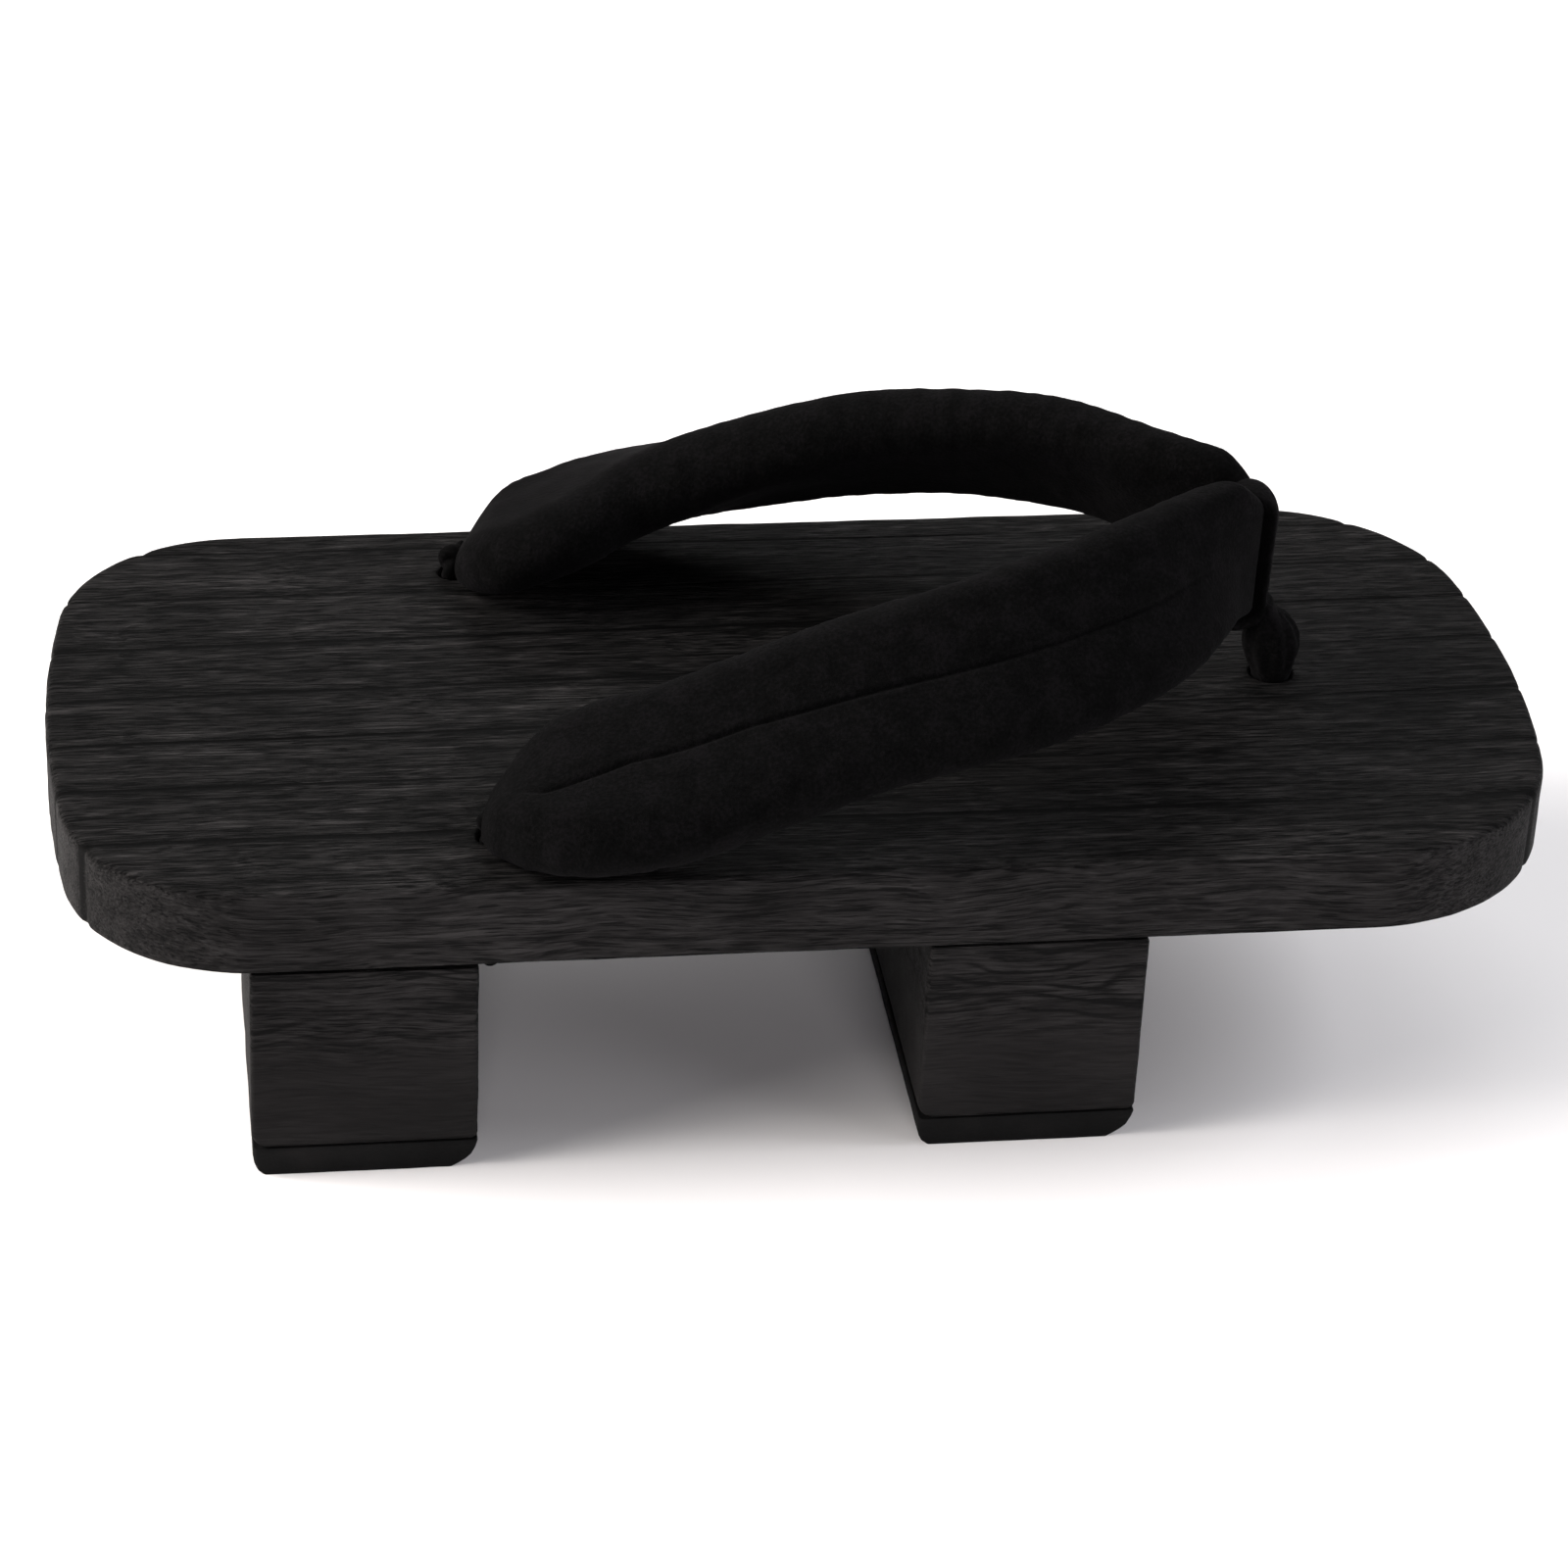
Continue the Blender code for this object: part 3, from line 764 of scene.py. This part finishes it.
def ease_through(stops, values, places):
    """A smooth curve through the values at the stops, read at the places."""
    steps = np.diff(stops)
    rises = np.diff(values) / steps
    slopes = np.empty_like(values)
    slopes[1:-1] = (rises[:-1] * steps[1:] + rises[1:] * steps[:-1]) / (steps[:-1] + steps[1:])
    slopes[0], slopes[-1] = rises[0], rises[-1]
    i = np.clip(np.searchsorted(stops, places, side="right") - 1, 0, len(steps) - 1)
    h = steps[i]
    t = (places - stops[i]) / h
    return (
        values[i] * (1 + 2 * t) * (1 - t) ** 2
        + slopes[i] * h * t * (1 - t) ** 2
        + values[i + 1] * t * t * (3 - 2 * t)
        - slopes[i + 1] * h * t * t * (1 - t)
    )


def strap_station(row, side):
    along, out, free, broad, thick, tilt = row
    half_broad = STRAP_BROAD / 2 * broad
    half_thick = STRAP_THICK / 2 * thick
    lean = math.radians(tilt)
    lowest = half_thick + (half_broad - half_thick) * abs(math.sin(lean))
    x = HEEL_HOLE[0] + along * (NOSE_X - HEEL_HOLE[0])
    z = BOARD_TOP + BAND_LIFT + free * STRAP_FREE_HEIGHT + lowest
    return (x, side * out * HEEL_HOLE[1], z, half_broad, half_thick, lean)


def strap_path(spacing=1.0 * MM):
    """The strap's stations from one heel hole round the nose to the other, about spacing apart."""
    stations = [strap_station(row, 1) for row in FAR_ROWS + NOSE_ROWS]
    nose = len(stations) - 1
    stations += [strap_station(row, -1) for row in reversed(NEAR_ROWS + NOSE_ROWS[:-1])]
    table = np.array(stations)
    spans = np.linalg.norm(np.diff(table[:, :3], axis=0), axis=1)
    stops = np.concatenate([[0.0], np.cumsum(spans)])
    far, near = stops[nose], stops[-1] - stops[nose]
    shares = np.linspace(0, 1, int(far / spacing))
    places = np.concatenate([shares * far, far + (1 - shares[-2::-1]) * near])
    shares = np.concatenate([shares, 2 - shares[-2::-1]])
    columns = np.stack([ease_through(stops, column, places) for column in table.T], axis=1)
    heading = np.gradient(columns[:, :3], places, axis=0)
    # By the far hole the band turns more slowly than its path, so that its outer edge doesn't fold
    mean = np.ones(TURN_WINDOW) / TURN_WINDOW
    padded = [np.pad(column, TURN_WINDOW // 2, mode="edge") for column in heading.T]
    slower = np.stack([np.convolve(column, mean, "valid") for column in padded], axis=1)
    weight = np.clip((0.5 - shares) / 0.2, 0, 1)[:, None]
    return columns, heading * (1 - weight) + slower * weight, shares


def band_section(lobe, half_thick, seam_at):
    """The band's section as (across, up, facing): two round edges, the padded face and the lining.

    Points crowd together on the face where the seam is.
    """
    outer = []
    inner = []
    for k in range(EDGE_POINTS):
        for side, edge in ((1, outer), (-1, inner)):
            angle = -side * math.pi / 2 + math.pi * k / EDGE_POINTS
            across = side * lobe + half_thick * math.cos(angle)
            edge.append((across, half_thick * math.sin(angle), math.sin(angle)))
    face = []
    for k in range(FACE_POINTS):
        share = 1 - 2 * k / FACE_POINTS
        room = lobe - seam_at if share > 0 else lobe + seam_at
        face.append((seam_at + math.copysign(abs(share) ** 1.6, share) * room, half_thick, 1.0))
    lining = []
    for k in range(LINING_POINTS):
        lining.append((lobe * (2 * k / LINING_POINTS - 1), -half_thick, -1.0))
    return outer + face + inner + lining


def make_strap(material):
    """The padded band: a fine sunk seam down its face, slack swells, and puckers at its edges."""
    columns, heading, shares = strap_path()
    mesh = bmesh.new()
    loops = []
    for (x, y, z, half_broad, half_thick, lean), ahead, share in zip(columns, heading, shares):
        upward = Vector((0, 0, 1))
        outward = upward.cross(Vector((ahead[0], ahead[1], 0))).normalized()
        broad_way = outward * math.cos(lean) - upward * math.sin(lean)
        face_way = outward * math.sin(lean) + upward * math.cos(lean)
        middle = Vector((x, y, z))
        from_end = min(share, 2 - share)
        seam = held((from_end - 0.045) / 0.05) * held((0.94 - from_end) / 0.25)
        if share < 1:
            # The far seam lies too far round the band to be seen by its hole
            seam *= held((from_end - 0.3) / 0.3)
        lobe = half_broad - half_thick
        seam_at = min(np.interp(from_end, *zip(*SEAM_LINE)) * MM, 0.6 * lobe)
        loop = []
        for u, w, facing in band_section(lobe, half_thick, seam_at):
            across = u / half_broad
            if facing == 1.0:
                off = (u - seam_at) / MM
                sunk = [deep * math.exp(-((off / wide) ** 2)) for deep, wide in (STITCHING, VALLEY)]
                w -= seam * MM * sum(sunk)
            point = middle + broad_way * u + face_way * w
            swell = noise.noise(Vector((share * 9, across * 1.5, facing))) * SWELL
            pucker = noise.noise(Vector((share * 75, across * 2.0, facing * 2))) * PUCKER
            at_rim = held((abs(across) - 0.55) / 0.4)
            pucker += noise.noise(Vector((share * 60, 5.0, across))) * EDGE_PUCKER * at_rim
            reach = (broad_way * u * 0.4 + face_way * w).normalized()
            thin = min(half_thick / (4 * MM), 1.0) * min(1.0, 4 * abs(1 - from_end) + 0.2)
            loop.append(tuple(point + reach * (swell + pucker) * thin * MM))
        loops.append(loop)
    skin(mesh, loops)
    strap = piece("strap_padded", mesh, material, "strap_cloth", "straps")


def tube(mesh, path, radii, closed=False, count=16, flat_way=None):
    """A tube along a path. radii are (across, thick) for each point; flat_way points across it."""
    points = [Vector(point) for point in path]
    loops = []
    side = Vector(flat_way or (0.31, 0.95, 0.05)).normalized()
    for i, point in enumerate(points):
        if closed:
            ahead = points[(i + 1) % len(points)] - points[i - 1]
        else:
            ahead = points[min(i + 1, len(points) - 1)] - points[max(i - 1, 0)]
        side = (side - ahead.normalized() * side.dot(ahead.normalized())).normalized()
        other = ahead.normalized().cross(side)
        wide, thick = radii[i] if isinstance(radii, list) else (radii, radii)
        loop = []
        for k in range(count):
            angle = 2 * math.pi * k / count
            spot = point + side * wide * math.cos(angle)
            loop.append(tuple(spot + other * thick * math.sin(angle)))
        loops.append(loop)
    skin(mesh, loops, closed=closed)


def strands(mesh, path, reach, thick, turns, count=2):
    """Strands of cloth twisted round a path that is given as close points."""
    points = [Vector(point) for point in path]
    for k in range(count):
        line = []
        for i, point in enumerate(points):
            ahead = (points[min(i + 1, len(points) - 1)] - points[max(i - 1, 0)]).normalized()
            side = Vector((0, 1, 0)) - ahead * ahead.y
            side.normalize()
            angle = 2 * math.pi * (turns * i / (len(points) - 1) + k / count)
            way = side * math.cos(angle) + ahead.cross(side) * math.sin(angle)
            line.append(point + way * reach)
        tube(mesh, line, thick, count=12)


def knot(mesh, x, y, z, half_length, half_width, half_height, thick):
    """A pulled-tight overhand knot: a tube through a three-lobed crossing, in the sizes given."""
    path = []
    for i in range(90):
        t = 2 * math.pi * i / 90
        a = (math.sin(t) + 2 * math.sin(2 * t)) / 3
        b = (math.cos(t) - 2 * math.cos(2 * t)) / 3
        path.append((
            x + a * (half_length - thick),
            y + b * (half_width - thick),
            z - math.sin(3 * t) * (half_height - thick),
        ))
    tube(mesh, path, thick, closed=True, count=14)
    tube(mesh, [(x, y, z - 0.6 * half_height), (x, y, z), (x, y, z + half_height)], thick)


# The middle of the knots under the board, above the floor
KNOT_HEIGHT = 39.4 * MM


def smooth_path(stops, count):
    """Close points on a smooth curve through a few stops."""
    table = np.array(stops, float)
    spans = np.linalg.norm(np.diff(table, axis=0), axis=1)
    along = np.concatenate([[0.0], np.cumsum(spans)])
    places = np.linspace(0, along[-1], count)
    columns = [ease_through(along, column, places) for column in table.T]
    return [tuple(float(c[i]) for c in columns) for i in range(count)]


def fuse(mesh, voxel, rounds):
    """Joins overlapping shells into one skin and smooths it, as cloth drawn over a core."""
    data = bpy.data.meshes.new("loose_shells")
    bmesh.ops.recalc_face_normals(mesh, faces=mesh.faces)
    mesh.to_mesh(data)
    mesh.free()
    obj = bpy.data.objects.new("loose_shells", data)
    bpy.context.scene.collection.objects.link(obj)
    remesh = obj.modifiers.new("one_skin", "REMESH")
    remesh.mode = "VOXEL"
    remesh.voxel_size = voxel
    smooth = obj.modifiers.new("drawn", "SMOOTH")
    smooth.iterations = rounds
    smooth.factor = 0.5
    joined = bmesh.new()
    joined.from_object(obj, bpy.context.evaluated_depsgraph_get())
    bpy.data.objects.remove(obj)
    bpy.data.meshes.remove(data)
    return joined


def make_tails(material):
    """The strap's two tails: twisted strands that pass through the board to a knot below."""
    for name, side in (("strap_tail_far", 1), ("strap_tail_near", -1)):
        x, y = HEEL_HOLE[0], side * HEEL_HOLE[1]
        mesh = bmesh.new()
        stops = [
            (x, y, 42.5 * MM),
            (x, y, 52 * MM),
            (x - 0.1 * MM, y, 59.5 * MM),
            (x - 0.9 * MM, y + side * 0.2 * MM, 62.4 * MM),
            (x - 0.3 * MM, y + side * 0.5 * MM, 64.4 * MM),
            (x + 2.6 * MM, y + side * 1.0 * MM, 64.9 * MM),
        ]
        strands(mesh, smooth_path(stops, 60), reach=1.15 * MM, thick=1.25 * MM, turns=2.6)
        knot(mesh, x, y, KNOT_HEIGHT, 3.3 * MM, 6.2 * MM, 4.4 * MM, thick=1.6 * MM)
        piece(name, fuse(mesh, voxel=0.3 * MM, rounds=3), material, "strap_cloth")


def thong_path(stand_off, steps=72):
    """A closed path round the band's nose and off its skin, from its lower front up and back."""
    x, _, z, half_broad, half_thick, lean = strap_station(NOSE_ROWS[-1], 1)
    lobe = half_broad - half_thick
    reach = half_thick + stand_off
    broad_way = Vector((math.cos(lean), 0, -math.sin(lean)))
    face_way = Vector((math.sin(lean), 0, math.cos(lean)))
    total = 4 * lobe + 2 * math.pi * reach
    path = []
    for i in range(steps):
        d = total * i / steps
        if d < 2 * lobe:
            u, w = lobe - d, reach
        elif d < 2 * lobe + math.pi * reach:
            angle = (d - 2 * lobe) / reach
            u, w = -lobe - reach * math.sin(angle), reach * math.cos(angle)
        elif d < 4 * lobe + math.pi * reach:
            u, w = d - 3 * lobe - math.pi * reach, -reach
        else:
            angle = (d - 4 * lobe - math.pi * reach) / reach
            u, w = lobe + reach * math.sin(angle), -reach * math.cos(angle)
        path.append(tuple(Vector((x, 0, z)) + broad_way * u + face_way * w))
    return path


ACROSS = (0.0, 1.0, 0.0)
LOOP_HALF_WIDE = 4.2 * MM
LOOP_HALF_THICK = 1.35 * MM
LOOP_GAP = 0.1 * MM
STEM_RADIUS = 3.75 * MM

# The thong's foot from the board up to the strap, in millimetres
FOOT_ROWS = (
    # height, along, half deep, half wide
    (60.9, 92.5, 3.9, 4.0),
    (62.0, 92.5, 4.2, 4.6),
    (64.0, 92.3, 4.8, 5.2),
    (66.5, 92.0, 5.4, 5.7),
    (68.5, 91.8, 5.4, 5.7),
    (70.5, 91.3, 4.8, 5.3),
    (72.4, 90.6, 3.7, 4.8),
    (74.4, 89.9, 2.4, 4.3),
    (77.0, 89.6, 1.7, 3.9),
)


def make_thong(material):
    """The toe thong: a soft loop round the band's nose, gathered into a fat foot, knotted below."""
    mesh = bmesh.new()
    path = thong_path(LOOP_HALF_THICK + LOOP_GAP)
    loop_radii = [(LOOP_HALF_WIDE, LOOP_HALF_THICK)] * len(path)
    tube(mesh, path, loop_radii, closed=True, flat_way=ACROSS)
    foot = [(along * MM, 0.0, height * MM) for height, along, _, _ in FOOT_ROWS]
    foot_radii = [(wide * MM, deep * MM) for _, _, deep, wide in FOOT_ROWS]
    tube(mesh, foot, foot_radii, count=24, flat_way=ACROSS)
    stem = [(TOE_HOLE[0], 0.0, z * MM) for z in (41.0, 50.0, 58.0, 63.0)]
    tube(mesh, stem, STEM_RADIUS, count=20)
    knot(mesh, TOE_HOLE[0], 0.0, KNOT_HEIGHT, 6.2 * MM, 6.2 * MM, 4.4 * MM, thick=2.3 * MM)
    joined = fuse(mesh, voxel=0.35 * MM, rounds=5)
    for vertex in joined.verts:
        x, y, z = vertex.co
        height = z / MM
        on_foot = held((height - 61.5) / 3) * held((76.0 - height) / 5)
        turn = math.atan2(y, x - 91.9 * MM)
        pleat = 0.26 * on_foot * math.cos(9 * turn + 0.14 * (height - 60))
        slack = 0.10 * noise.noise(vertex.co * 400)
        vertex.co += vertex.normal * (pleat + slack) * MM
    piece("toe_thong_gathered", joined, material, "strap_cloth", "toe_thong")


# Lamps round the sandal: bearing from the toe, height above the floor, watts and colour
LAMP_REACH = 1.8
LAMP_SIZE = 0.9
LAMP_AIM = (0, 0, 0.03)
LAMPS = (
    ("key_heel", 180, 38, 27.0, "#fffaf6"),
    ("key_heel_far", 165, 38, 20.0, "#fffaf6"),
    ("low_heel", 192, 18, 24.0, "#fffaf6"),
    ("fill_toe", 0, 38, 18.0, "#fbfbff"),
    ("low_toe_near", 330, 18, 8.0, "#f8f6fa"),
    ("rim_far_high", 90, 38, 8.0, "#ffffff"),
    ("rim_far_toe", 60, 38, 6.0, "#ffffff"),
    ("fill_near", 270, 18, 12.0, "#fbf6fa"),
)

FLOOR_HALF = 3.0
ROOM_LIGHT = 0.035


def floor_and_light():
    """A plain white floor under eight soft lamps, the strongest at the heel's end."""
    data = bpy.data.meshes.new("floor")
    corners = [(-1, -1), (1, -1), (1, 1), (-1, 1)]
    places = [(x * FLOOR_HALF, y * FLOOR_HALF, 0) for x, y in corners]
    data.from_pydata(places, [], [(0, 1, 2, 3)])
    paper, tree, shader = new_material("white_paper_sweep")
    shader.inputs["Base Color"].default_value = hex_colour("#f2f1f1")
    shader.inputs["Roughness"].default_value = 0.9
    shader.inputs["Specular IOR Level"].default_value = 0.2
    data.materials.append(paper)
    floor = bpy.data.objects.new("floor", data)
    bpy.context.scene.collection.objects.link(floor)
    for name, bearing, rise, watts, colour in LAMPS:
        light = bpy.data.lights.new(name, "AREA")
        light.shape = "DISK"
        light.size = LAMP_SIZE
        light.energy = watts
        light.color = hex_colour(colour)[:3]
        lamp = bpy.data.objects.new(name, light)
        flat, up = math.radians(bearing), math.radians(rise)
        way = Vector((math.cos(up) * math.cos(flat), math.cos(up) * math.sin(flat), math.sin(up)))
        lamp.location = way * LAMP_REACH
        aim = Vector(LAMP_AIM) - lamp.location
        lamp.rotation_euler = aim.to_track_quat("-Z", "Y").to_euler()
        bpy.context.scene.collection.objects.link(lamp)
    world = bpy.data.worlds.new("pale_room")
    world.use_nodes = True
    background = world.node_tree.nodes["Background"]
    background.inputs[0].default_value = hex_colour("#f4f4f6")
    background.inputs[1].default_value = ROOM_LIGHT
    bpy.context.scene.world = world
    bpy.context.scene.view_settings.view_transform = "Standard"


# The camera, fitted to the photograph: its lens in millimetres on a 36 mm frame, its place, and the
# picture's own right and up
CAMERA_LENS = 110.27
CAMERA_PLACE = (-0.1215, -0.7743, 0.5213)
PICTURE_RIGHT = (0.99071, -0.13035, 0.03869)
PICTURE_UP = (0.03575, 0.52424, 0.85082)


def camera():
    """The photograph's angle: from the near side, a little towards the heel, tilted and rolled."""
    data = bpy.data.cameras.new("camera")
    data.sensor_width = 36.0
    data.lens = CAMERA_LENS
    obj = bpy.data.objects.new("camera", data)
    right = Vector(PICTURE_RIGHT).normalized()
    up = Vector(PICTURE_UP)
    back = right.cross(up).normalized()
    up = back.cross(right)
    obj.matrix_world = Matrix((
        (right.x, up.x, back.x, CAMERA_PLACE[0]),
        (right.y, up.y, back.y, CAMERA_PLACE[1]),
        (right.z, up.z, back.z, CAMERA_PLACE[2]),
        (0, 0, 0, 1),
    ))
    bpy.context.scene.collection.objects.link(obj)
    bpy.context.scene.camera = obj


def main():
    camera()
    floor_and_light()
    # The last number is painted light: how much lighter the upright faces are made
    board_wood = stained_wood("paulownia_brushed_black_stain", board_lines, 1.5)
    tooth_wood = stained_wood("paulownia_tooth_black_stain", tooth_lines, 1.4)
    rubber = tread_rubber()
    flannel = strap_flannel()
    make_board(board_wood)
    wood = ("stained_wood", tooth_wood)
    sheet = ("tread_rubber", rubber)
    make_block("heel_tooth_worn", "heel_tooth", *wood, HEEL_TOOTH, TOOTH_ROWS, 1.0, droop=0.35)
    make_block("toe_tooth_worn", "toe_tooth", *wood, TOE_TOOTH, TOOTH_ROWS, 4.0)
    make_block("heel_tread_worn", "heel_tread", *sheet, HEEL_TOOTH, TREAD_ROWS, 2.0, grainy=0.0)
    make_block("toe_tread_worn", "toe_tread", *sheet, TOE_TOOTH, TREAD_ROWS, 3.0, grainy=0.0)
    make_strap(flannel)
    make_tails(flannel)
    make_thong(flannel)


main()
